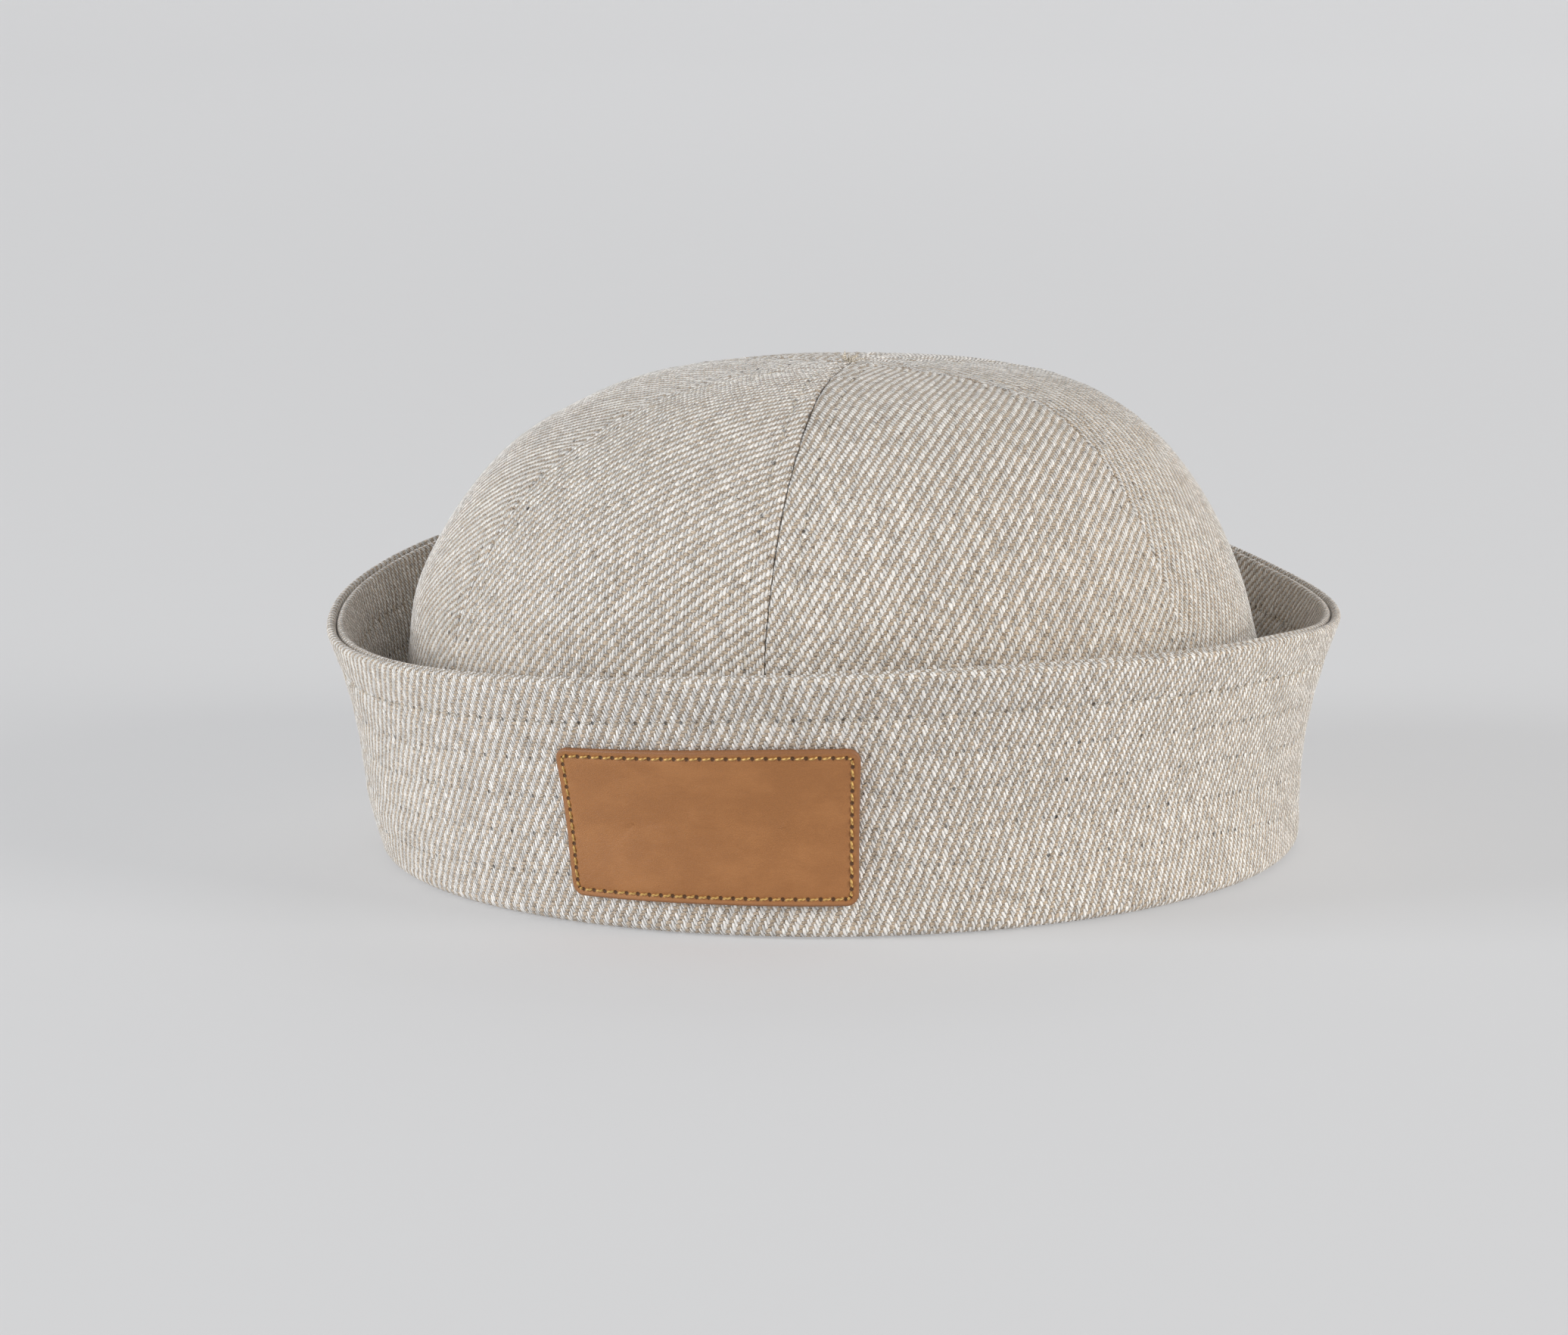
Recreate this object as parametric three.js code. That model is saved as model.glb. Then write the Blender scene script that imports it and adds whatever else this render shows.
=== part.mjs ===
// Sailor hat with a round crown of sewn panels and a turned-up cuff, in woven cloth,
// with a leather patch on the front of the cuff. The hat stands on the fold of its cuff.
// Millimetres, +Z up, the wearer faces -Y. An azimuth of 0 is the front, 90 is +X.

import * as THREE from 'three';

// Driving sizes of the cuff
const foldHalfWidth = 95.5;
const foldHalfDepth = 106;
const cuffHeight = 54;
const cuffFlare = 11;
const innerLayerDrop = 0.7;
const troughRadius = 0.75;
const returnHeight = 12;

// Driving sizes of the crown
const crownHeight = 100;
const crownStraight = 3;
const crownLean = 2.6;
const panelPuff = 0.9;
const dentDepth = 2.8;
const crownTipRadius = 0.9;

// Driving sizes of the leather patch
const patchWidth = 59.3;
const patchHeight = 31.3;
const patchCorner = 2.4;
const patchFromFold = 7.2;
const patchAzimuth = -6.6;

// Thickness of each layer, and the clearance between sewn layers
const outerCloth = 1.9;
const innerCloth = 1.8;
const crownCloth = 1.8;
const leatherThickness = 1.3;
const layerGap = 0.35;
const seamGap = 0.35;

// The rim all round, at equal steps of azimuth: its height as a share of cuffHeight, and
// how far it stands out past the fold as a share of cuffFlare
const rimRows = [
  { azimuth: 0, height: 0.98, flare: 1.13 },
  { azimuth: 30, height: 1.0, flare: 1.31 },
  { azimuth: 60, height: 0.97, flare: 1.07 },
  { azimuth: 90, height: 0.9, flare: 0.77 },
  { azimuth: 120, height: 0.91, flare: 0.77 },
  { azimuth: 150, height: 1.01, flare: 1.12 },
  { azimuth: 180, height: 1.09, flare: 1.18 },
  { azimuth: 210, height: 1.12, flare: 1.12 },
  { azimuth: 240, height: 1.04, flare: 0.93 },
  { azimuth: 270, height: 0.94, flare: 0.92 },
  { azimuth: 300, height: 0.885, flare: 1.07 },
  { azimuth: 330, height: 0.92, flare: 1.02 },
];

// How the flare builds up at equal steps over the height of the cuff, on its two sides
const wallRows = [
  { height: 0, left: 0, right: 0 },
  { height: 0.2, left: 0.24, right: 0.02 },
  { height: 0.4, left: 0.37, right: 0.09 },
  { height: 0.6, left: 0.52, right: 0.32 },
  { height: 0.8, left: 0.73, right: 0.63 },
  { height: 1, left: 1, right: 1 },
];

// The crown from the end of its straight foot to its tip: height as a share of what is
// left of crownHeight, spread as a share of its half-width and half-depth, lean as a
// share of crownLean, and how much of the puff between the seams each level takes
const crownRows = [
  { height: 0.0, spread: 1.0, lean: 0.0, puff: 0.0 },
  { height: 0.158, spread: 0.987, lean: -0.24, puff: 0.3 },
  { height: 0.307, spread: 0.963, lean: -0.55, puff: 0.6 },
  { height: 0.45, spread: 0.936, lean: -0.8, puff: 0.8 },
  { height: 0.582, spread: 0.882, lean: -0.68, puff: 1.0 },
  { height: 0.697, spread: 0.816, lean: -0.48, puff: 1.0 },
  { height: 0.8, spread: 0.732, lean: -0.2, puff: 1.0 },
  { height: 0.882, spread: 0.631, lean: 0.12, puff: 0.9 },
  { height: 0.942, spread: 0.512, lean: 0.36, puff: 0.7 },
  { height: 0.98, spread: 0.337, lean: 0.55, puff: 0.4 },
  { height: 0.996, spread: 0.16, lean: 0.78, puff: 0.1 },
  { height: 1.0, spread: 0.0, lean: 0.95, puff: 0.0 },
];

// Soft hollows pressed into the crown: where each lies, its depth as a share of
// dentDepth, and its reach in degrees of azimuth and in share of the crown's rise
const dentRows = [
  { azimuth: -68, height: 0.93, depth: 1.0, reach: 30, rise: 0.11 },
  { azimuth: 150, height: 0.77, depth: 0.4, reach: 26, rise: 0.16 },
];

// The six panels, each from its first seam to its last seam, in degrees of azimuth
const panelRows = [
  { name: 'crown_panel_front_right', from: 0, to: 63 },
  { name: 'crown_panel_right', from: 63, to: 121 },
  { name: 'crown_panel_back_right', from: 121, to: 180 },
  { name: 'crown_panel_back_left', from: 180, to: 241 },
  { name: 'crown_panel_left', from: 241, to: 308 },
  { name: 'crown_panel_front_left', from: 308, to: 360 },
];

// Facets
const ringSteps = 60;
const wallSteps = 5;
const foldSteps = 2;
const rimSteps = 3;
const panelRowsUp = 11;
const panelColumns = 10;
const patchColumns = 10;
const patchRowsUp = 6;
const patchCornerSteps = 3;
const arcSteps = 32;

// Small moves that give a direction, in degrees and in rows of a table
const smallTurn = 0.1;
const smallStep = 0.01;

// Places that follow from the layers: each is an offset from the outside of the fold
const innerLayerOffset = outerCloth / 2 + layerGap + innerCloth / 2;
const crownOffset = outerCloth + innerCloth + 2 * layerGap;
const returnOffset = crownOffset + crownCloth + layerGap + outerCloth / 2;
const foldRadius = troughRadius + outerCloth / 2;
const layerFoot = outerCloth / 2 + foldRadius;
const straightTop = returnHeight + crownStraight;
const crownRise = crownHeight - straightTop;
const crownHalfWidth = foldHalfWidth - crownOffset;
const crownHalfDepth = foldHalfDepth - crownOffset;
const crownFoot = { height: (layerFoot - straightTop) / crownRise, spread: 1, lean: 0, puff: 0 };
const crownLevels = [crownFoot, ...crownRows];
const rimRowSpan = rimRows[1].azimuth - rimRows[0].azimuth;
const wallRowSpan = wallRows[1].height - wallRows[0].height;

// Materials
const clothMaterial = new THREE.MeshStandardMaterial({ color: 0xcfc7bb, roughness: 0.95 });
const leatherMaterial = new THREE.MeshStandardMaterial({ color: 0xa87147, roughness: 0.6 });

const toRadians = Math.PI / 180;

// A smooth value between equally spaced ones; position 1.5 is halfway from the second
// to the third
function smoothBetween(values, position, closed = false) {
  const last = values.length - 1;
  const start = closed ? Math.floor(position) : Math.min(Math.floor(position), last - 1);
  const t = position - start;
  const pick = (i) => {
    if (closed) return values[((i % values.length) + values.length) % values.length];
    if (i < 0) return 2 * values[0] - values[1];
    if (i > last) return 2 * values[last] - values[last - 1];
    return values[i];
  };
  const [a, b, c, d] = [pick(start - 1), pick(start), pick(start + 1), pick(start + 2)];
  const slopeIn = (c - a) / 2;
  const slopeOut = (d - b) / 2;
  return (
    b + t * (slopeIn + t * (3 * (c - b) - 2 * slopeIn - slopeOut + t * (2 * (b - c) + slopeIn + slopeOut)))
  );
}

const column = (rows, name) => rows.map((row) => row[name]);

// A point beside the fold's oval, moved outward by offset and lifted to height
function besideFold(azimuth, offset, height) {
  const sin = Math.sin(azimuth * toRadians);
  const cos = Math.cos(azimuth * toRadians);
  const length = Math.hypot(sin / foldHalfWidth, cos / foldHalfDepth);
  const normalX = sin / foldHalfWidth / length;
  const normalY = -cos / foldHalfDepth / length;
  return new THREE.Vector3(
    foldHalfWidth * sin + normalX * offset,
    -foldHalfDepth * cos + normalY * offset,
    height,
  );
}

function rimHeight(azimuth) {
  return cuffHeight * smoothBetween(column(rimRows, 'height'), azimuth / rimRowSpan, true);
}

function rimFlare(azimuth) {
  return cuffFlare * smoothBetween(column(rimRows, 'flare'), azimuth / rimRowSpan, true);
}

// The middle of the cuff's outer layer, from share 0 above the fold to 1 at the rim
function wallMiddle(azimuth, share, drop = 0) {
  const towardRight = (1 + Math.sin(azimuth * toRadians)) / 2;
  const position = share / wallRowSpan;
  const left = smoothBetween(column(wallRows, 'left'), position);
  const right = smoothBetween(column(wallRows, 'right'), position);
  const lean = left + (right - left) * towardRight;
  const top = rimHeight(azimuth) - outerCloth / 2 - drop;
  return new THREE.Vector2(
    rimFlare(azimuth) * lean - outerCloth / 2,
    layerFoot + share * (top - layerFoot),
  );
}

function wallLine(azimuth, drop) {
  const line = [];
  for (let i = 0; i <= wallSteps; i++) line.push(wallMiddle(azimuth, i / wallSteps, drop));
  return line;
}

// The direction to the left of a line at one of its points
function leftOf(line, i) {
  const before = line[Math.max(i - 1, 0)];
  const after = line[Math.min(i + 1, line.length - 1)];
  const along = after.clone().sub(before).normalize();
  return new THREE.Vector2(-along.y, along.x);
}

// The line moved sideways, positive to its left
function beside(line, distance) {
  return line.map((point, i) => point.clone().addScaledVector(leftOf(line, i), distance));
}

// The outline of a cloth layer whose middle follows the line, with a round last end
function layerOutline(line, thickness, roundStart) {
  const half = thickness / 2;
  const roundEnd = (point, side) => {
    const cap = [];
    for (let k = 1; k < rimSteps; k++) {
      const turn = (-k / rimSteps) * Math.PI;
      const spoke = side.clone().rotateAround(new THREE.Vector2(), -turn);
      cap.push(spoke.multiplyScalar(half).add(point));
    }
    return cap;
  };
  const last = line.length - 1;
  const outline = beside(line, -half);
  outline.push(...roundEnd(line[last], leftOf(line, last).negate()));
  outline.push(...beside(line, half).reverse());
  if (roundStart) outline.push(...roundEnd(line[0], leftOf(line, 0)));
  return outline;
}

// Outer layer: from its hem inside the crown, down and under the fold, up to the rim
function outerLayerOutline(azimuth) {
  const line = [new THREE.Vector2(-returnOffset, returnHeight - outerCloth / 2)];
  for (let i = 0; i <= foldSteps; i++) {
    const turn = (i / foldSteps) * (Math.PI / 2);
    const across = foldRadius * (1 - Math.cos(turn));
    line.push(new THREE.Vector2(across - returnOffset, layerFoot - foldRadius * Math.sin(turn)));
  }
  for (let i = 0; i < foldSteps; i++) {
    const turn = (i / foldSteps) * (Math.PI / 2);
    const across = layerFoot - foldRadius * Math.sin(turn);
    line.push(new THREE.Vector2(-across, layerFoot - foldRadius * Math.cos(turn)));
  }
  line.push(...wallLine(azimuth, 0));
  return layerOutline(line, outerCloth, true);
}

// Inner layer: the facing that shows beside the crown
function innerLayerOutline(azimuth) {
  const line = beside(wallLine(azimuth, innerLayerDrop), innerLayerOffset);
  return layerOutline(line, innerCloth, false);
}

// A closed geometry from points and the triangles between them, faces pointing out
function solidFrom(points, triangles) {
  let volume = 0;
  for (const [a, b, c] of triangles) {
    volume += points[a].dot(new THREE.Vector3().crossVectors(points[b], points[c]));
  }
  const outward = volume > 0 ? triangles : triangles.map(([a, b, c]) => [a, c, b]);
  const geometry = new THREE.BufferGeometry();
  const positions = points.flatMap((point) => [point.x, point.y, point.z]);
  geometry.setAttribute('position', new THREE.Float32BufferAttribute(positions, 3));
  geometry.setIndex(outward.flat());
  geometry.computeVertexNormals();
  return geometry;
}

// A ring whose section at each azimuth is the given outline
function ringFrom(outlineAt) {
  const points = [];
  const triangles = [];
  let count = 0;
  for (let i = 0; i < ringSteps; i++) {
    const azimuth = (i / ringSteps) * 360;
    const outline = outlineAt(azimuth);
    count = outline.length;
    for (const corner of outline) points.push(besideFold(azimuth, corner.x, corner.y));
  }
  for (let i = 0; i < ringSteps; i++) {
    for (let j = 0; j < count; j++) {
      const a = i * count + j;
      const b = i * count + ((j + 1) % count);
      const c = ((i + 1) % ringSteps) * count + ((j + 1) % count);
      const d = ((i + 1) % ringSteps) * count + j;
      triangles.push([a, b, c], [a, c, d]);
    }
  }
  return solidFrom(points, triangles);
}

// A closed plate between two grids of points, front[row][col] and back[row][col]
function plateFrom(front, back) {
  const rows = front.length;
  const columns = front[0].length;
  const points = [...front.flat(), ...back.flat()];
  const triangles = [];
  const at = (side, row, col) => side * rows * columns + row * columns + col;
  const quad = (a, b, c, d) => triangles.push([a, b, c], [a, c, d]);
  for (let r = 0; r + 1 < rows; r++) {
    for (let c = 0; c + 1 < columns; c++) {
      quad(at(0, r, c), at(0, r, c + 1), at(0, r + 1, c + 1), at(0, r + 1, c));
      quad(at(1, r, c), at(1, r + 1, c), at(1, r + 1, c + 1), at(1, r, c + 1));
    }
    quad(at(0, r, 0), at(0, r + 1, 0), at(1, r + 1, 0), at(1, r, 0));
    const last = columns - 1;
    quad(at(0, r, last), at(1, r, last), at(1, r + 1, last), at(0, r + 1, last));
  }
  for (let c = 0; c + 1 < columns; c++) {
    quad(at(0, 0, c), at(1, 0, c), at(1, 0, c + 1), at(0, 0, c + 1));
    const last = rows - 1;
    quad(at(0, last, c), at(0, last, c + 1), at(1, last, c + 1), at(1, last, c));
  }
  return solidFrom(points, triangles);
}

// How deep the soft hollows are at one place of the crown
function dentAt(azimuth, height) {
  let depth = 0;
  for (const dent of dentRows) {
    const turned = ((((azimuth - dent.azimuth) % 360) + 540) % 360) - 180;
    const away = (turned / dent.reach) ** 2 + ((height - dent.height) / dent.rise) ** 2;
    depth += dent.depth * dentDepth * Math.exp(-away);
  }
  return depth;
}

// A point on the outside of the crown; the panel gives the seams on its two sides
function crownPoint(panel, azimuth, position) {
  const height = smoothBetween(column(crownLevels, 'height'), position);
  const spread = smoothBetween(column(crownLevels, 'spread'), position);
  const lean = smoothBetween(column(crownLevels, 'lean'), position);
  const puff = smoothBetween(column(crownLevels, 'puff'), position);
  const between = (azimuth - panel.from) / (panel.to - panel.from);
  const proud = panelPuff * puff * Math.sin(Math.PI * between) ** 2 - dentAt(azimuth, height) * puff;
  const sin = Math.sin(azimuth * toRadians);
  const cos = Math.cos(azimuth * toRadians);
  return new THREE.Vector3(
    (crownHalfWidth * spread + proud * spread) * sin + crownLean * lean,
    -(crownHalfDepth * spread + proud * spread) * cos,
    straightTop + crownRise * height + proud * (1 - spread),
  );
}

// The outward direction of the crown there
function crownNormal(panel, azimuth, position) {
  const near = (turn, rise) => crownPoint(panel, azimuth + turn * smallTurn, position + rise * smallStep);
  const around = near(1, 0).sub(near(-1, 0));
  const upward = near(0, 1).sub(near(0, -1));
  return around.cross(upward).normalize();
}

// The degrees of azimuth that half of the seam's clearance takes at one level
function seamInset(panel, position) {
  const middle = crownPoint(panel, (panel.from + panel.to) / 2, position);
  const lean = crownLean * smoothBetween(column(crownLevels, 'lean'), position);
  return seamGap / 2 / Math.hypot(middle.x - lean, middle.y) / toRadians;
}

// One sewn panel of the crown, with half of the seam's clearance along each edge
function crownPanel(panel) {
  const lastRow = crownLevels.length - 1;
  const tipSpan = crownLevels[lastRow - 1].spread * crownHalfWidth;
  const lastPosition = lastRow - crownTipRadius / tipSpan;
  const outside = [];
  const inside = [];
  for (let r = 0; r <= panelRowsUp; r++) {
    const position = (r / panelRowsUp) * lastPosition;
    const inset = seamInset(panel, position);
    const outer = [];
    const inner = [];
    for (let c = 0; c <= panelColumns; c++) {
      const from = panel.from + inset;
      const azimuth = from + (c / panelColumns) * (panel.to - inset - from);
      const point = crownPoint(panel, azimuth, position);
      outer.push(point);
      inner.push(point.clone().addScaledVector(crownNormal(panel, azimuth, position), -crownCloth));
    }
    outside.push(outer);
    inside.push(inner);
  }
  return plateFrom(outside, inside);
}

// The azimuth reached after going an arc of the given length round the cuff
function azimuthAfter(start, arc, offset) {
  let azimuth = start;
  for (let i = 0; i < arcSteps; i++) {
    const here = besideFold(azimuth, offset, 0);
    const ahead = besideFold(azimuth + smallTurn, offset, 0);
    azimuth += (smallTurn * arc) / arcSteps / here.distanceTo(ahead);
  }
  return azimuth;
}

// A point of the patch, across and up from its centre, and proud of the cuff
function patchPoint(across, up, proud) {
  const wallRise = rimHeight(patchAzimuth) - outerCloth / 2 - layerFoot;
  const level = (height) => (height - layerFoot) / wallRise;
  const middleLevel = level(patchFromFold + patchHeight / 2);
  const clothFace = wallMiddle(patchAzimuth, middleLevel).x + outerCloth / 2;
  const leatherMiddle = clothFace + layerGap + leatherThickness / 2;
  const azimuth = azimuthAfter(patchAzimuth, across, leatherMiddle);
  const share = level(patchFromFold + patchHeight / 2 + up);
  const point = wallMiddle(azimuth, share);
  const below = wallMiddle(azimuth, share - smallStep);
  const along = wallMiddle(azimuth, share + smallStep).sub(below).normalize();
  const away = outerCloth / 2 + layerGap + proud;
  return besideFold(azimuth, point.x + along.y * away, point.y - along.x * away);
}

// Distances from the patch's centre line where it has a column of points, with the
// half-height of the patch there
function patchColumnRows() {
  const columns = [];
  const halfWidth = patchWidth / 2;
  const halfHeight = patchHeight / 2;
  for (let k = 0; k < patchCornerSteps; k++) {
    const turn = (k / patchCornerSteps) * (Math.PI / 2);
    columns.push({
      across: halfWidth - patchCorner + patchCorner * Math.cos(turn),
      reach: halfHeight - patchCorner + patchCorner * Math.sin(turn),
    });
  }
  const straight = [];
  for (let k = 0; k <= patchColumns; k++) {
    const across = (halfWidth - patchCorner) * (1 - (2 * k) / patchColumns);
    straight.push({ across, reach: halfHeight });
  }
  const mirrored = columns.map(({ across, reach }) => ({ across: -across, reach })).reverse();
  return [...columns, ...straight, ...mirrored];
}

function leatherPatch() {
  const columns = patchColumnRows();
  const grid = (proud) => {
    const rows = [];
    for (let r = 0; r <= patchRowsUp; r++) {
      const share = (2 * r) / patchRowsUp - 1;
      rows.push(columns.map(({ across, reach }) => patchPoint(across, share * reach, proud)));
    }
    return rows;
  };
  return plateFrom(grid(leatherThickness), grid(0));
}

// The assembly
const hat = new THREE.Group();

function addPiece(name, geometry, material) {
  const mesh = new THREE.Mesh(geometry, material.clone());
  mesh.name = name;
  hat.add(mesh);
}

for (const panel of panelRows) addPiece(panel.name, crownPanel(panel), clothMaterial);
addPiece('cuff_outer_layer', ringFrom(outerLayerOutline), clothMaterial);
addPiece('cuff_inner_layer', ringFrom(innerLayerOutline), clothMaterial);
addPiece('leather_patch', leatherPatch(), leatherMaterial);

// The origin is the middle of the hat's footprint, on the surface that it stands on
const box = new THREE.Box3().setFromObject(hat);
const middle = box.getCenter(new THREE.Vector3());
hat.position.set(-middle.x, -middle.y, -box.min.z);

export default hat;
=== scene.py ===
import math

import bmesh
import bpy
import numpy as np
from mathutils import Matrix, Vector


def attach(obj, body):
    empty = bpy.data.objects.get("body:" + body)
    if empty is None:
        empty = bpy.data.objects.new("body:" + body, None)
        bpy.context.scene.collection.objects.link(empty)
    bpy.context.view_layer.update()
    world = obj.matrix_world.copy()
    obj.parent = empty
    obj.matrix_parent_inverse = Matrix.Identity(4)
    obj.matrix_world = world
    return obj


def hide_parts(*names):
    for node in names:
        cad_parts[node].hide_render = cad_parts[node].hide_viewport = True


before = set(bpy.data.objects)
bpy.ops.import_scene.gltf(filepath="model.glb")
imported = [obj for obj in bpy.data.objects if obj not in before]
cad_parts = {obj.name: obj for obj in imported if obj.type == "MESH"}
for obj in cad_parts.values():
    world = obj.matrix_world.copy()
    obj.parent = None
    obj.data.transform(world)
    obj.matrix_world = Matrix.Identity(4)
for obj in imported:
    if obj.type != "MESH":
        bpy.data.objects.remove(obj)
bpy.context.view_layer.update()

# All shapes are worked out in millimetres, in the CAD source's own frame, and are then
# moved by ORIGIN and turned into metres. Azimuth 0 is the front, 90 is +X.
MM = 0.001
ORIGIN = np.array([0.8327, -0.2791, -0.0062])

# Sizes of the solids, as the CAD source has them
FOLD_HALF_WIDTH, FOLD_HALF_DEPTH = 95.5, 106.0
CUFF_HEIGHT, CUFF_FLARE = 54.0, 11.0
INNER_DROP = 0.7
RETURN_HEIGHT = 12.0
CROWN_HEIGHT, CROWN_LEAN, PANEL_PUFF, DENT_DEPTH, TIP_RADIUS = 100.0, 2.6, 0.9, 2.8, 0.9
CROWN_STRAIGHT = 3.0
PATCH_WIDTH, PATCH_HEIGHT, PATCH_CORNER = 59.3, 31.3, 2.4
PATCH_FROM_FOLD, PATCH_AZIMUTH = 7.2, -6.6
OUTER_CLOTH, INNER_CLOTH, CROWN_CLOTH, LEATHER = 1.9, 1.8, 1.8, 1.3
LAYER_GAP = 0.35
TROUGH_RADIUS = 0.75

INNER_OFFSET = OUTER_CLOTH / 2 + LAYER_GAP + INNER_CLOTH / 2
CROWN_OFFSET = OUTER_CLOTH + INNER_CLOTH + 2 * LAYER_GAP
RETURN_OFFSET = CROWN_OFFSET + CROWN_CLOTH + LAYER_GAP + OUTER_CLOTH / 2
FOLD_RADIUS = TROUGH_RADIUS + OUTER_CLOTH / 2
FOOT = OUTER_CLOTH / 2 + FOLD_RADIUS
STRAIGHT_TOP = RETURN_HEIGHT + CROWN_STRAIGHT
CROWN_RISE = CROWN_HEIGHT - STRAIGHT_TOP

# Height and flare of the rim, as shares of CUFF_HEIGHT and CUFF_FLARE, every 30 degrees
RIM_HEIGHT = [0.98, 1.0, 0.97, 0.9, 0.91, 1.01, 1.09, 1.12, 1.04, 0.94, 0.885, 0.92]
RIM_FLARE = [1.13, 1.31, 1.07, 0.77, 0.77, 1.12, 1.18, 1.12, 0.93, 0.92, 1.07, 1.02]
# Build-up of the flare over equal steps of height, on the left and on the right
WALL_LEFT = [0, 0.24, 0.37, 0.52, 0.73, 1]
WALL_RIGHT = [0, 0.02, 0.09, 0.32, 0.63, 1]
WALL_STEPS = len(WALL_LEFT) - 1
# Height, spread, lean and puff of the crown's levels
CROWN_LEVELS = np.array([
    [(FOOT - STRAIGHT_TOP) / CROWN_RISE, 1.0, 0.0, 0.0],
    [0.0, 1.0, 0.0, 0.0],
    [0.158, 0.987, -0.24, 0.3],
    [0.307, 0.963, -0.55, 0.6],
    [0.45, 0.936, -0.8, 0.8],
    [0.582, 0.882, -0.68, 1.0],
    [0.697, 0.816, -0.48, 1.0],
    [0.8, 0.732, -0.2, 1.0],
    [0.882, 0.631, 0.12, 0.9],
    [0.942, 0.512, 0.36, 0.7],
    [0.98, 0.337, 0.55, 0.4],
    [0.996, 0.16, 0.78, 0.1],
    [1.0, 0.0, 0.95, 0.0],
])
# Azimuth, height, depth and reaches of the soft hollows
DENTS = [(-68, 0.93, 1.0, 30, 0.11), (150, 0.77, 0.4, 26, 0.16)]
PANELS = [
    ("front_right", 0, 63), ("right", 63, 121), ("back_right", 121, 180),
    ("back_left", 180, 241), ("left", 241, 308), ("front_left", 308, 360),
]

# The cloth: a 2/2 twill of thick pale warps over darker wefts
WARP_PITCH, WEFT_PITCH = 0.61, 0.76
RIB_RISE = WEFT_PITCH / WARP_PITCH
RIB_TURNS = 4
CREST = 0.125
CROWN_RELIEF, CUFF_RELIEF = 0.18, 0.075
CUFF_GRAIN = math.radians(13)
CUFF_BOW = 30.0
CUFF_WAVES, CROWN_WAVES = 0.45, 0.55
WAVE_LENGTHS = (95, 78, 61, 47, 38, 31)
# Sewing: the cuff's rows by their depth below the rim, each staggered by a share of a stitch
ROW_STEP = 8
CUFF_ROWS = [ROW_STEP * k for k in range(1, 6)]
CUFF_STITCH, ROW_STAGGER = 3.0, 0.37
SEAM_STITCH = 3.7
SEAM_ROW_AFTER, SEAM_ROW_BEFORE = 5.0, 4.0
CLOTH_STITCH = 3.3
PATCH_SEAM, PATCH_STITCHES, PATCH_STITCH = 1.5, 72, 2.45


def smooth_between(values, position):
    """Smooth values between equally spaced ones, for an array of positions."""
    values, position = np.asarray(values, float), np.asarray(position, float)
    last = len(values) - 1
    start = np.minimum(np.floor(position).astype(int), last - 1)
    t = position - start

    def pick(i):
        before, after = 2 * values[0] - values[1], 2 * values[-1] - values[-2]
        return np.where(i < 0, before, np.where(i > last, after, values[np.clip(i, 0, last)]))

    a, b, c, d = pick(start - 1), pick(start), pick(start + 1), pick(start + 2)
    into, out = (c - a) / 2, (d - b) / 2
    return b + t * (into + t * (3 * (c - b) - 2 * into - out + t * (2 * (b - c) + into + out)))


def smooth_step(low, high, value):
    t = np.clip((value - low) / (high - low), 0, 1)
    return t * t * (3 - 2 * t)


def distances(points):
    """How far along a line of points each of them lies."""
    return np.append(0, np.cumsum(np.linalg.norm(np.diff(points, axis=0), axis=1)))


def unit(vectors):
    return vectors / np.maximum(np.linalg.norm(vectors, axis=-1, keepdims=True), 1e-12)


# Slow uneven waves, the same for every layer at one place
_rng = np.random.default_rng(7)
WAVES = []
for _length in WAVE_LENGTHS:
    _direction = unit(_rng.normal(size=3))
    _phase = _rng.uniform(0, math.tau)
    WAVES.append((_direction * math.tau / _length, _phase, _length / WAVE_LENGTHS[0]))


def waves(points):
    total = 0
    for direction, phase, size in WAVES:
        total = total + size * np.sin(points @ direction + phase)
    return total / 3


def beside_fold(azimuth, offset, height):
    """A point beside the fold's oval, moved outward and lifted."""
    angle = np.radians(azimuth)
    sin, cos = np.sin(angle), np.cos(angle)
    nx, ny = sin / FOLD_HALF_WIDTH, -cos / FOLD_HALF_DEPTH
    length = np.hypot(nx, ny)
    x = FOLD_HALF_WIDTH * sin + nx / length * offset
    y = -FOLD_HALF_DEPTH * cos + ny / length * offset
    return np.stack(np.broadcast_arrays(x, y, height), -1)


def round_rim(values, azimuth):
    """A smooth value round the rim, from one every 30 degrees."""
    return smooth_between([values[-1], *values, *values[:2]], azimuth / 30 % 12 + 1)


def rim_height(azimuth):
    return CUFF_HEIGHT * round_rim(RIM_HEIGHT, azimuth)


def rim_flare(azimuth):
    return CUFF_FLARE * round_rim(RIM_FLARE, azimuth)


def wall_middle(azimuth, share, drop):
    """Way outward and height of the outer layer's middle, with its top lowered by drop."""
    toward_right = (1 + np.sin(np.radians(azimuth))) / 2
    left = smooth_between(WALL_LEFT, share * WALL_STEPS)
    right = smooth_between(WALL_RIGHT, share * WALL_STEPS)
    lean = left + (right - left) * toward_right
    top = rim_height(azimuth) - OUTER_CLOTH / 2 - drop
    return rim_flare(azimuth) * lean - OUTER_CLOTH / 2, FOOT + share * (top - FOOT)


def wall_length(azimuth):
    return np.hypot(rim_height(azimuth) - OUTER_CLOTH / 2 - FOOT, rim_flare(azimuth))


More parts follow.
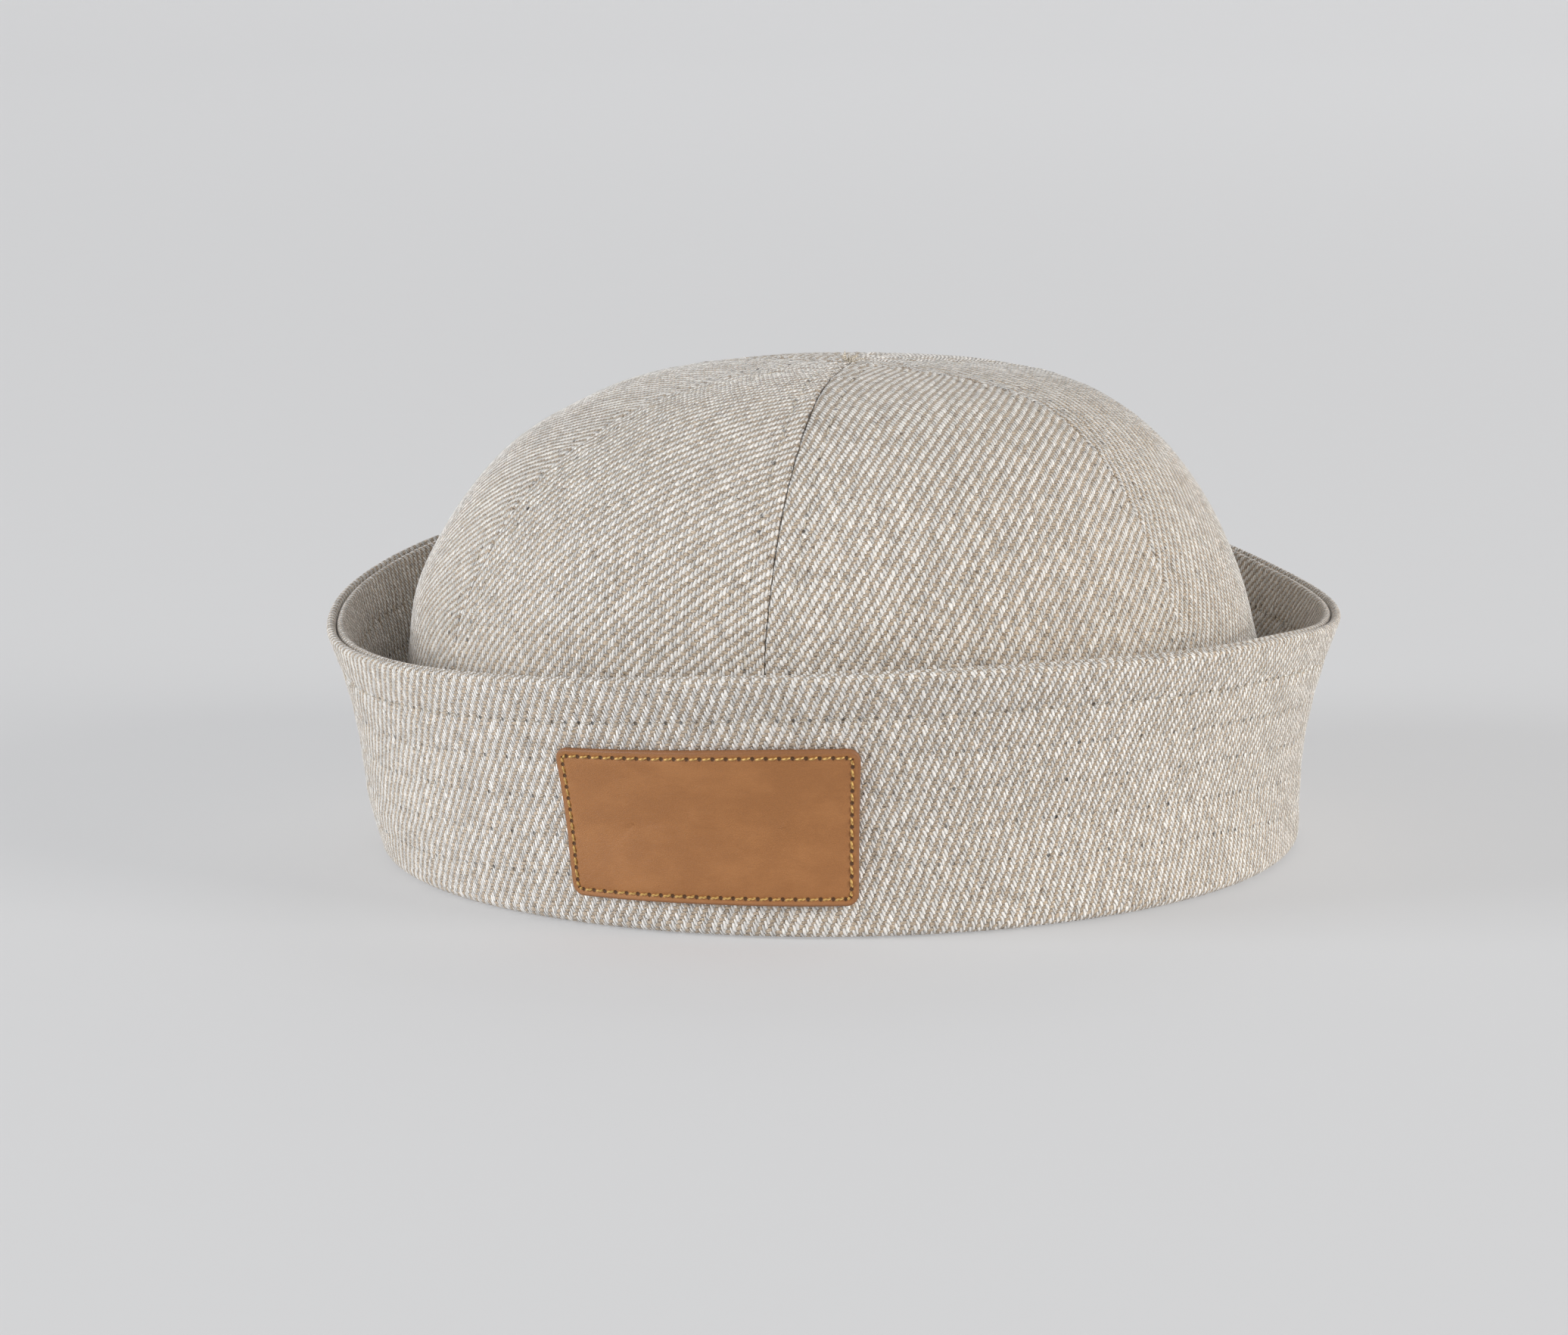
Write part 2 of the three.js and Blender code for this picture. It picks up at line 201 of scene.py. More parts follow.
def wall_point(azimuth, share, side, rise=0.0, drop=0.0):
    """A point of the cuff: side is how far outward from the outer layer's middle."""
    x, z = wall_middle(azimuth, share, drop)
    x0, z0 = wall_middle(azimuth, share - 0.02, drop)
    x1, z1 = wall_middle(azimuth, share + 0.02, drop)
    along_x, along_z = x1 - x0, z1 - z0
    length = np.hypot(along_x, along_z)
    along_x, along_z = along_x / length, along_z / length
    base = beside_fold(azimuth, x, z)
    side = side + CUFF_WAVES * waves(base) * smooth_step(0.05, 0.5, share)
    out, up = along_z * side + along_x * rise, along_z * rise - along_x * side
    return beside_fold(azimuth, x + out, z + up)


# Arc length round the cuff, 0 at the front, with the seam of the cuff at the back
_turn = np.arange(-720, 720.01, 0.25)
_ring = beside_fold(_turn, 5.0, np.zeros_like(_turn))
_arc = distances(_ring)
_arc -= np.interp(0, _turn, _arc)
ROUND = np.interp(360, _turn, _arc)


def azimuth_at(arc):
    return np.interp(arc, _arc, _turn)


def on_grain(u, v, angle):
    return u * math.cos(angle) + v * math.sin(angle), v * math.cos(angle) - u * math.sin(angle)


def rib(u, v):
    """0 on the crest of a rib of the twill, down to -1 in the groove beside it."""
    phase = (v / WEFT_PITCH - u / WARP_PITCH) / RIB_TURNS - CREST
    return (np.cos(math.tau * phase) - 1) / 2


# Objects


def link(name, data):
    made = bpy.data.objects.new(name, data)
    bpy.context.scene.collection.objects.link(made)
    return made


def finish_object(name, mesh, material, slot, *nodes):
    mesh.validate()
    mesh.polygons.foreach_set("use_smooth", np.ones(len(mesh.polygons), bool))
    mesh.materials.append(material)
    made = link(name, mesh)
    if nodes:
        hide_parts(*nodes)
    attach(made, "root")


def new_mesh(name, points, faces, maps):
    """A mesh from points in millimetres. Its maps have a uv pair for each corner of a face."""
    mesh = bpy.data.meshes.new(name)
    mesh.from_pydata((points.reshape(-1, 3) + ORIGIN) * MM, [], faces)
    for label, values in maps.items():
        flat = values.astype(np.float32).ravel()
        mesh.uv_layers.new(name=label).uv.foreach_set("vector", flat)
    return mesh


def grid_mesh(name, points, maps, wrap_rows=False, caps=False):
    """A mesh from a grid of points whose rows close on themselves. Each map is a grid of uv
    pairs, with one more row or column than the points where the grid closes."""
    rows, columns = points.shape[:2]
    r = np.arange(rows if wrap_rows else rows - 1)[:, None]
    c = np.arange(columns)
    corners = [(0, 0), (0, 1), (1, 1), (1, 0)]
    quads = [((r + dr) % rows) * columns + (c + dc) % columns for dr, dc in corners]
    quads = np.stack(quads, -1).reshape(-1, 4)
    places = points.reshape(-1, 3)
    a, b, d = (places[quads[:, k]] for k in (0, 1, 3))
    inside_out = np.einsum("ij,ij->", np.cross(b - a, d - a), a - places.mean(0)) < 0
    order = -1 if inside_out else 1
    corners, faces = corners[::order], quads[:, ::order].tolist()
    if caps:
        first, last = range(columns), range((rows - 1) * columns, rows * columns)
        faces += [list(first[::-order]), list(last[::order])]
    flats = {}
    for label, values in maps.items():
        flat = np.stack([values[r + dr, c + dc] for dr, dc in corners], 2).reshape(-1, 2)
        cap = np.tile(values[0, 0], (2 * columns if caps else 0, 1))
        flats[label] = np.concatenate([flat, cap])
    return new_mesh(name, points, faces, flats)


# Materials


class Value:
    """A number or vector of a node tree, with the usual signs of arithmetic."""

    def __init__(self, net, socket):
        self.net, self.socket = net, socket

    def __add__(self, other):
        return self.net.math("ADD", self, other)

    def __sub__(self, other):
        return self.net.math("SUBTRACT", self, other)

    def __rsub__(self, other):
        return self.net.math("SUBTRACT", other, self)

    def __mul__(self, other):
        return self.net.math("MULTIPLY", self, other)

    def __truediv__(self, other):
        return self.net.math("DIVIDE", self, other)

    __radd__ = __add__
    __rmul__ = __mul__


class Net:
    def __init__(self, name):
        self.material = bpy.data.materials.new(name)
        self.material.use_nodes = True
        self.tree = self.material.node_tree
        self.shader = self.tree.nodes["Principled BSDF"]

    def feed(self, socket, value):
        if isinstance(value, Value):
            self.tree.links.new(value.socket, socket)
        else:
            socket.default_value = value

    def node(self, kind, **settings):
        made = self.tree.nodes.new("ShaderNode" + kind)
        for key, value in settings.items():
            setattr(made, key, value)
        return made

    def math(self, operation, a, b=None, c=None):
        made = self.node("Math", operation=operation)
        for socket, value in zip(made.inputs, (a, b, c)):
            if value is not None:
                self.feed(socket, value)
        return Value(self, made.outputs[0])

    def split(self, socket):
        parts = self.node("SeparateXYZ")
        self.tree.links.new(socket, parts.inputs[0])
        return Value(self, parts.outputs[0]), Value(self, parts.outputs[1])

    def uv(self, name):
        return self.split(self.node("UVMap", uv_map=name).outputs[0])

    def vector(self, x, y, z=0.0):
        made = self.node("CombineXYZ")
        for socket, value in zip(made.inputs, (x, y, z)):
            self.feed(socket, value)
        return Value(self, made.outputs[0])

    def noise(self, x, y, z=0.0, detail=1.0, roughness=0.5):
        made = self.node("TexNoise")
        self.feed(made.inputs["Vector"], self.vector(x, y, z))
        made.inputs["Scale"].default_value = 1.0
        made.inputs["Detail"].default_value = detail
        made.inputs["Roughness"].default_value = roughness
        return Value(self, made.outputs["Fac"])

    def random(self, number, seed):
        made = self.node("TexWhiteNoise", noise_dimensions="2D")
        self.feed(made.inputs["Vector"], self.vector(number, seed))
        return Value(self, made.outputs["Value"])

    def step(self, low, high, value, start=0.0, end=1.0):
        made = self.node("MapRange", interpolation_type="SMOOTHSTEP")
        for socket, given in zip(made.inputs, (value, low, high, start, end)):
            self.feed(socket, given)
        return Value(self, made.outputs[0])

    def mix(self, share, first, second):
        made = self.node("Mix", data_type="RGBA")
        for index, value in ((0, share), (6, first), (7, second)):
            if isinstance(value, tuple):
                value = (*value, 1.0)
            self.feed(made.inputs[index], value)
        return Value(self, made.outputs[2])

    def scaled(self, colour, share):
        made = self.node("VectorMath", operation="SCALE")
        self.feed(made.inputs[0], colour)
        self.feed(made.inputs["Scale"], share)
        return Value(self, made.outputs[0])

    def bump(self, height, distance):
        """Relief of a height from the nodes, for a distance in metres."""
        made = self.node("Bump")
        made.inputs["Strength"].default_value = 1.0
        made.inputs["Distance"].default_value = distance
        self.feed(made.inputs["Height"], height)
        self.tree.links.new(made.outputs[0], self.shader.inputs["Normal"])

    def yarn_round(self, across):
        """Height of a round yarn at a share of its half width from its middle."""
        return self.math("SQRT", self.math("MAXIMUM", 1.0 - across * across, 0.0))

    def from_hole(self, along, off, pitch):
        """Distance to the nearest needle hole of a row. Along is counted in stitches."""
        along = (self.math("WRAP", along + 0.5, 1.0, 0.0) - 0.5) * pitch
        return self.math("SQRT", along * along + off * off)

    def finish(self, colour, roughness, **fixed):
        self.feed(self.shader.inputs["Base Color"], colour)
        self.feed(self.shader.inputs["Roughness"], roughness)
        for key, value in fixed.items():
            self.shader.inputs[key.replace("_", " ")].default_value = value
        return self.material


WARP_COLOUR = (0.82, 0.788, 0.748)
SLUB_COLOUR = (0.92, 0.90, 0.85)
WEFT_COLOUR = (0.44, 0.35, 0.262)
WEFT_PALE = (0.67, 0.60, 0.505)
STRAW_COLOUR = (0.50, 0.36, 0.19)
FLECK_COLOUR = (0.14, 0.105, 0.075)


def cloth_material():
    net = Net("cloth_twill")
    u, v = net.uv("Weave")
    along, off = net.uv("Sew")
    turn = math.tau / RIB_TURNS

    a = u / WARP_PITCH + (net.noise(u * 0.3, v * 0.16, 3.0) - 0.5) * 0.9
    a = a + (net.noise(u * 0.9, v * 0.7, 4.0) - 0.5) * 0.8
    b = v / WEFT_PITCH + (net.noise(u * 0.16, v * 0.3, 9.0) - 0.5) * 0.9
    b = b + (net.noise(u * 0.7, v * 0.9, 8.0) - 0.5) * 0.9
    warp, weft = net.math("FLOOR", a), net.math("FLOOR", b)
    across_warp = a - warp - 0.5
    across_weft = b - weft - 0.5

    # The warp: where along its float it is, how thick, and its round height
    t = net.math("WRAP", b - warp, RIB_TURNS, 0.0)
    float_chance = net.random(warp, net.math("FLOOR", (b - warp) / RIB_TURNS))
    warp_lift = net.math("COSINE", (t - 1.0) * turn)
    warp_swell = net.noise(warp * 1.7, v * 0.42, 1.0, detail=0.0)
    warp_half = warp_swell * 0.22 + float_chance * 0.12 + 0.22
    warp_round = net.yarn_round((across_warp + (t - 1.0) * 0.16) / warp_half)
    warp_height = warp_lift * 0.46 + warp_round * 0.66 + float_chance * 0.30 - 0.29

    # The weft, under two warps and over the next two
    s = net.math("WRAP", weft + 1.0 - a, RIB_TURNS, 0.0)
    weft_lift = net.math("COSINE", (s - 1.0) * turn) * -1.0
    weft_swell = net.noise(weft * 1.3, u * 0.42, 5.0, detail=0.0)
    weft_half = weft_swell * 0.34 + 0.26
    weft_round = net.yarn_round(across_weft / weft_half)
    weft_height = weft_lift * 0.40 + weft_round * 0.42 - 0.14

    height = net.math("MAXIMUM", warp_height, weft_height)
    on_warp = net.step(-0.06, 0.1, warp_height - weft_height)

    # Thick slubs in single yarns
    slub = net.step(0.64, 0.74, net.noise(warp * 0.9, v * 0.5, 21.0, detail=1.0)) * on_warp

    # Fibres along the yarns, and slow unevenness over the cloth
    warp_fibre = net.noise(u * 6.5, v * 1.5, 2.0, detail=2.0)
    weft_fibre = net.noise(u * 1.6, v * 6.5, 4.0, detail=2.0)
    mottle = net.noise(u * 0.55, v * 0.7, 17.0, detail=2.0)
    patches = net.noise(u * 0.06, v * 0.06, 7.0, detail=2.0)
    warp_tone = float_chance * 0.22 + warp_fibre * 0.34 + 0.72
    weft_tone = net.random(weft, warp) * 0.34 + weft_fibre * 0.70 + 0.50

    warp_colour = net.scaled(net.mix(slub, WARP_COLOUR, SLUB_COLOUR), warp_tone)
    straw = net.step(0.68, 0.75, net.noise(u * 0.7, v * 2.6, 31.0, detail=1.0))
    weft_base = net.mix(net.step(0.52, 0.70, weft_fibre), WEFT_COLOUR, WEFT_PALE)
    weft_base = net.mix(straw * 0.7, weft_base, STRAW_COLOUR)
    weft_colour = net.scaled(weft_base, weft_tone)
    fleck = net.step(0.60, 0.70, net.noise(u * 1.0, v * 1.3, 12.0, detail=2.0))
    weft_colour = net.mix(fleck * 0.85, weft_colour, FLECK_COLOUR)
    colour = net.mix(on_warp, weft_colour, warp_colour)

    # Needle holes of the sewing, darkened in the colour as painted shade
    from_hole = net.from_hole(along, off, CLOTH_STITCH)
    hole_chance = net.random(net.math("FLOOR", along + 0.5), 6.0)
    hole = net.step(0.48, 0.2, from_hole) * (hole_chance * 0.8 + 0.2)

    # Lower places between the yarns are darker: painted shade. Patches and mottle below are the
    # cloth's own uneven tone.
    depth = net.step(-0.20, 0.60, height, 0.33, 1.05)
    painted_shade_and_tone = depth * (patches * 0.16 + mottle * 0.50 + 0.67) * (1.0 - hole * 0.75)
    net.bump(height + slub * 0.35 + warp_fibre * 0.16 - hole * 1.6, 0.00034)
    colour = net.scaled(colour, painted_shade_and_tone)
    return net.finish(
        colour, 0.92, Specular_IOR_Level=0.18, Sheen_Weight=0.18, Sheen_Roughness=0.55
    )


TAN, TAN_PALE = (0.350, 0.145, 0.045), (0.388, 0.166, 0.054)
TAN_SCRATCH, TAN_RUBBED = (0.52, 0.28, 0.14), (0.44, 0.205, 0.080)
TAN_EDGE = (0.245, 0.105, 0.042)
TAPE_YARN = 0.45
FLOOR_COLOUR, FLOOR_GLOW = (0.382, 0.383, 0.387), (0.322, 0.323, 0.327, 1.0)


def leather_material():
    net = Net("leather_tan")
    inset, round_at = net.uv("Edge")
    x, y = net.uv("Face")
    grain = net.node("TexVoronoi", feature="DISTANCE_TO_EDGE")
    wobble = net.noise(x * 1.1, y * 1.1, 3.0, detail=2.0)
    net.feed(grain.inputs["Vector"], net.vector(x * 2.6 + wobble, y * 2.6 + wobble, 0.0))
    grain.inputs["Scale"].default_value = 1.0
    crease = net.step(0.0, 0.16, Value(net, grain.outputs["Distance"]))
    cloud = net.noise(x * 0.09, y * 0.14, 1.0, detail=4.0, roughness=0.6)
    fine = net.noise(x * 3.2, y * 3.2, 5.0, detail=3.0)
    scratch = net.step(0.74, 0.80, net.noise(x * 0.45, y * 4.6, 8.0, detail=2.0))
    tone = cloud * 0.16 + fine * 0.14 + crease * 0.05 + 0.81
    edge = net.step(0.9, 0.1, inset)
    rubbed = net.step(0.15, 0.55, inset) * net.step(1.3, 0.6, inset)
    base = net.mix(net.step(0.4, 0.7, cloud), TAN, TAN_PALE)
    base = net.mix(scratch * 0.25, base, TAN_SCRATCH)
    base = net.mix(rubbed * 0.35, base, TAN_RUBBED)
    base = net.mix(edge * 0.8, base, TAN_EDGE)
    # Needle holes round the patch, darkened in the colour as painted shade
    from_hole = net.from_hole(round_at, inset - PATCH_SEAM, PATCH_STITCH)
    hole = net.step(0.5, 0.26, from_hole)
    colour = net.scaled(base, tone * (1.0 - hole * 0.75))
    net.bump(crease * 0.35 + fine * 0.5 - hole * 4.0 + scratch * 0.4, 0.00006)
    rough = fine * 0.16 + cloud * 0.12 + 0.36
    return net.finish(colour, rough, Specular_IOR_Level=0.42)


def thread_material(name, light, painted_ply_shade, twists):
    net = Net(name)
    along, turn = net.uv("Thread")
    strand = net.math("SINE", (along * twists + turn) * (math.tau))
    fibre = net.noise(along * 6.0, turn * 9.0, 1.0, detail=2.0)
    # The dark colour lies in the grooves between the twisted plies: painted shade.
    colour = net.mix(net.step(-0.9, 0.7, strand), painted_ply_shade, light)
    net.bump(strand * 0.7 + fibre * 0.3, 0.00006)
    colour = net.scaled(colour, fibre * 0.3 + 0.85)
    return net.finish(colour, 0.6, Specular_IOR_Level=0.3, Sheen_Weight=0.1)


def tape_material():
    net = Net("cotton_tape")
    u, v = net.uv("Weave")
    across, along = (net.math("SINE", x * (math.tau / TAPE_YARN)) for x in (u, v))
    cell = across * along
    fibre = net.noise(u * 3.0, v * 3.0, 2.0, detail=3.0)
    # Darker where the weave dips: painted shade.
    colour = net.mix(net.step(-0.8, 0.8, cell), (0.50, 0.46, 0.39), (0.72, 0.68, 0.60))
    net.bump(cell * 0.6 + fibre * 0.3, 0.00008)
    return net.finish(net.scaled(colour, fibre * 0.3 + 0.82), 0.9, Specular_IOR_Level=0.2)


def floor_material():
    """A pale floor that glows a little, as a light table does, so that shadows stay faint."""
    net = Net("studio_floor")
    x, y = net.split(net.node("TexCoord").outputs["Object"])
    # Paler toward the back, where less light falls
    away = net.step(0.3, 3.6, y, 0.97, 1.22)
    fine = net.noise(x * 60.0, y * 60.0, 0.0, detail=3.0)
    colour = net.scaled(FLOOR_COLOUR, (fine * 0.012 + 0.99) * away)
    return net.finish(
        colour, 0.85, Specular_IOR_Level=0.1, Emission_Color=FLOOR_GLOW, Emission_Strength=1.0
    )


CLOTH = cloth_material()
LEATHER_MATERIAL = leather_material()
CREAM_THREAD = thread_material("thread_cream", (0.80, 0.73, 0.62), (0.50, 0.43, 0.33), 2.2)
GOLD_THREAD = thread_material("thread_gold", (0.76, 0.49, 0.15), (0.36, 0.19, 0.05), 0.9)
TAPE = tape_material()


# The cuff

# Change of the rib's turn per millimetre round the cuff's cloth and up it
ROUND_RATE = -(math.sin(CUFF_GRAIN) / WEFT_PITCH + math.cos(CUFF_GRAIN) / WARP_PITCH) / RIB_TURNS
UP_RATE = (math.cos(CUFF_GRAIN) / WEFT_PITCH - math.sin(CUFF_GRAIN) / WARP_PITCH) / RIB_TURNS
RIBS_ROUND = round(-ROUND * ROUND_RATE)
GRAIN_SCALE = -RIBS_ROUND / (ROUND * ROUND_RATE)
COLUMNS_PER_RIB = 5
CUFF_COLUMNS = RIBS_ROUND * COLUMNS_PER_RIB

# How deep and wide the groove of a row of stitches is, and how the cloth swells between rows
ROW_PULL, STITCH_PULL, ROW_REACH, ROW_PUFF = 0.10, 0.08, 0.9, 0.05
FIRST_ROW_PULL = 2.4
SEWN_FROM, SEWN_TO, CLEAR_OF_ROWS = 3.5, 45.5, 60.0
# Depths below the rim of the mesh's rows, close together beside the sewing
LOWEST_ROW = 41.6
BESIDE_ROW = (0.75, 0, -0.75, -2.8, -5.2)
MESH_ROWS = [row + step for row in CUFF_ROWS[::-1] for step in BESIDE_ROW]
MESH_ROWS = [LOWEST_ROW, *MESH_ROWS, 1.3, 0.55, 0]
# The groove of the join at the back
JOIN_PULL, JOIN_REACH = 0.55, 0.9
# Where the hidden side's cloth continues in the weave's map
HIDDEN_CLOTH = 110 + OUTER_CLOTH / math.tau


def bow_of_cloth(around):
    """Height and slope of the cloth's level lines, which bow up at the front."""
    turn = math.tau * around / ROUND
    return CUFF_BOW * np.cos(turn), -CUFF_BOW * math.tau / ROUND * np.sin(turn)


def cuff_cloth(around, up):
    """A place on the cuff's cloth before it was cut, along its wefts and its warps."""
    bow, slope = bow_of_cloth(around)
    return on_grain((around - up * slope) * GRAIN_SCALE, up + bow, CUFF_GRAIN)


def along_rib(start, up):
    """Where round the cuff the rib that belongs to start meets a height."""
    around = start
    for _ in range(14):
        bow, slope = bow_of_cloth(around)
        around = start - UP_RATE * (up + bow) / (ROUND_RATE * GRAIN_SCALE) + up * slope
    return around


def sewing_dip(depth, arc):
    """How far the rows of stitches pull the cuff in, and the rows' own coordinates."""
    depth, arc = np.broadcast_arrays(depth, arc)
    rows = np.array(CUFF_ROWS, float)
    index = np.clip(np.round(depth / ROW_STEP).astype(int) - 1, 0, len(rows) - 1)
    off = depth - rows[index]
    along = arc / CUFF_STITCH + index * ROW_STAGGER
    dip = (ROW_PULL + STITCH_PULL * np.cos(math.tau * along)) * np.exp(-((off / ROW_REACH) ** 2))
    dip = dip * np.where(index == 0, FIRST_ROW_PULL, 1.0)
    puff = ROW_PUFF * np.cos(math.tau * off / ROW_STEP) * (depth < rows[-1] + ROW_STEP / 2)
    dip = (dip + puff) * ((depth > SEWN_FROM) & (depth < SEWN_TO))
    return dip, np.minimum(np.abs(off), 3.0), along


def layer_sizes(outer):
    """A cuff layer's half thickness, side that shows, middle and drop of its top."""
    if outer:
        return OUTER_CLOTH / 2, 1, 0.0, 0.0
    return INNER_CLOTH / 2, -1, -INNER_OFFSET, INNER_DROP


def fold_bends():
    """The middle of the hem and the fold: way outward, height, normal and way up the cloth."""
    quarter = FOLD_RADIUS * math.pi / 2
    flat = RETURN_OFFSET - FOLD_RADIUS - FOOT
    hem = RETURN_HEIGHT - OUTER_CLOTH / 2 - FOOT
    bends = []
    for share in (1.0, 0.5, 0.0):
        up = -2 * quarter - flat - hem * share
        bends.append((-RETURN_OFFSET, FOOT + hem * share, (-1, 0), up))
    for k in range(1, 5):
        turn = k / 4 * math.pi / 2
        sin, cos = math.sin(turn), math.cos(turn)
        x, z = FOLD_RADIUS * (1 - cos) - RETURN_OFFSET, FOOT - FOLD_RADIUS * sin
        bends.append((x, z, (-cos, -sin), -flat - 2 * quarter + FOLD_RADIUS * turn))
    for k in range(5):
        turn = k / 4 * math.pi / 2
        sin, cos = math.sin(turn), math.cos(turn)
        x, z = FOLD_RADIUS * sin - FOOT, FOOT - FOLD_RADIUS * cos
        bends.append((x, z, (sin, -cos), FOLD_RADIUS * turn - quarter))
    return bends


def cuff_layer(outer):
    """Grids of points and maps for one layer of the cuff, face side first."""
    half, face, middle, drop = layer_sizes(outer)
    start = np.arange(CUFF_COLUMNS + 1) * ROUND / CUFF_COLUMNS - ROUND / 2
    join = JOIN_PULL * np.exp(-(((ROUND / 2 - np.abs(start)) / JOIN_REACH) ** 2))
    points, weave, sew = [], [], []

    def add(around, cloth_up, place, depth, relief):
        """Adds a row, placed by a function of its push out of the face."""
        u, v = cuff_cloth(around, cloth_up)
        dip, off, along = sewing_dip(depth, face * around)
        points.append(place(relief * (CUFF_RELIEF * rib(u, v) - dip - join)))
        weave.append(np.stack([u, v], -1))
        sew.append(np.stack(np.broadcast_arrays(along, off), -1))

    def wall_row(share, depth, relief=1.0, turn=0.0):
        """A row below the rim by a share of the wall and a depth. Turn goes from 0 on the
        face side, round the rim, to pi on the hidden side."""
        sin, cos = math.sin(turn), math.cos(turn)
        around = start
        for _ in range(4):
            azimuth = azimuth_at(face * around)
            length = wall_length(azimuth)
            up = length * (1 - share) - depth
            around = along_rib(start, up)

        def place(push):
            out = middle + face * (half + push) * cos
            return wall_point(azimuth, up / length, out, (half + push) * sin, drop)

        add(around, length + half * turn + (up - length) * cos, place, length - up, relief)

    def fold_row(bend, side, relief, cloth_up):
        x, z, normal, up = bend
        around = along_rib(start, up)
        azimuth = azimuth_at(face * around)

        def place(push):
            out = side + push
            return beside_fold(azimuth, x + normal[0] * out, z + normal[1] * out)

        add(around, cloth_up, place, CLEAR_OF_ROWS, relief)

    # The hem and the fold, then the wall's face side, round the rim and down the hidden side
    bends = fold_bends() if outer else []
    for bend in bends:
        fold_row(bend, half, 1.0, bend[3])
    for share in (0.12 if outer else 0.0, 0.25, 0.5, 0.75):
        wall_row(1 - share, share * LOWEST_ROW)
    for depth in MESH_ROWS:
        wall_row(0, depth)
    for k in range(1, 6):
        wall_row(0, 0, 1.0 if k < 4 else 0.5, k / 6 * math.pi)
    for share in (0.0, 0.33, 0.67, 1.0):
        wall_row(share * 0.99, 0, 0.0, math.pi)
    # The hidden side of the fold, in fewer rows, and the hem's cut edge
    for bend in bends[::-1][::2]:
        fold_row(bend, -half, 0.0, HIDDEN_CLOTH - bend[3])
    for x, z, _, up in bends[:1]:
        fold_row((x, z, (0, 1), up), half, 0.0, HIDDEN_CLOTH + 1 - up)
    maps = {"Weave": np.array(weave + weave[:1]), "Sew": np.array(sew + sew[:1])}
    return np.array(points)[:, :-1], maps


for _name, _outer, _node in (
    ("cuff_outside", True, "cuff_outer_layer"),
    ("cuff_inside", False, "cuff_inner_layer"),
):
    _mesh = grid_mesh(_name, *cuff_layer(_outer), wrap_rows=True)
    finish_object(_name, _mesh, CLOTH, "cloth", _node)


# The crown

LAST_LEVEL = len(CROWN_LEVELS) - 1
CROWN_HALF_WIDTH = FOLD_HALF_WIDTH - CROWN_OFFSET
CROWN_HALF_DEPTH = FOLD_HALF_DEPTH - CROWN_OFFSET
TIP_POSITION = LAST_LEVEL - TIP_RADIUS / (CROWN_LEVELS[-2, 1] * CROWN_HALF_WIDTH)
VISUAL_SEAM_GAP = 0.08
MOST_BEND = 0.008

# Size, length and shift of the puckers beside a seam
PUCKERS = [(0.26, 8.3, 1), (0.14, 5.1, 2)]
# The seam's rolled edge, less deep at the other seams than at the front, and roped by its thread
SEAM_ROUND, FRONT_ROLL, OTHER_ROLL = 1.15, 0.6, 0.4
ROPE_SIZE, ROPE_LENGTH = 0.32, 1.7
SEAM_ROW_PULL, SEAM_ROW_REACH = 0.14, 0.8

ROWS_PER_RIB = 7
OUTSIDE_COLUMNS, INSIDE_COLUMNS = 58, 9
RIB_STEP = RIB_TURNS * WEFT_PITCH / ROWS_PER_RIB
# Distances from a row's ends of the columns that stand close together there
EDGE_COLUMNS = np.array([0, 0.12, 0.3, 0.55, 0.85, 1.25, 1.8, 2.6])
SHORT_ROW = 9
# Half widths under which the seams' rows of stitches end, on the map and in thread
MAP_NARROW, THREAD_NARROW = 7, 7.5


def crown_point(span, azimuth, position):
    first, last = span
    height, spread, lean, puff = (smooth_between(CROWN_LEVELS[:, k], position) for k in range(4))
    dent = 0
    for at, level, depth, reach, rise in DENTS:
        turned = (azimuth - at + 180) % 360 - 180
        away = (turned / reach) ** 2 + ((height - level) / rise) ** 2
        dent = dent + depth * DENT_DEPTH * np.exp(-away)
    between = (azimuth - first) / (last - first)
    proud = PANEL_PUFF * puff * np.sin(math.pi * between) ** 2 - dent * puff
    angle = np.radians(azimuth)
    x = (CROWN_HALF_WIDTH + proud) * spread * np.sin(angle) + CROWN_LEAN * lean
    y = -(CROWN_HALF_DEPTH + proud) * spread * np.cos(angle)
    z = STRAIGHT_TOP + CROWN_RISE * height + proud * (1 - spread)
    return np.stack(np.broadcast_arrays(x, y, z), -1)


def past_seam_row(u, edge):
    """How far a place, by its distance to the seam, lies past the row of stitches."""
    return np.where(u < 0, edge - SEAM_ROW_AFTER, edge - SEAM_ROW_BEFORE)


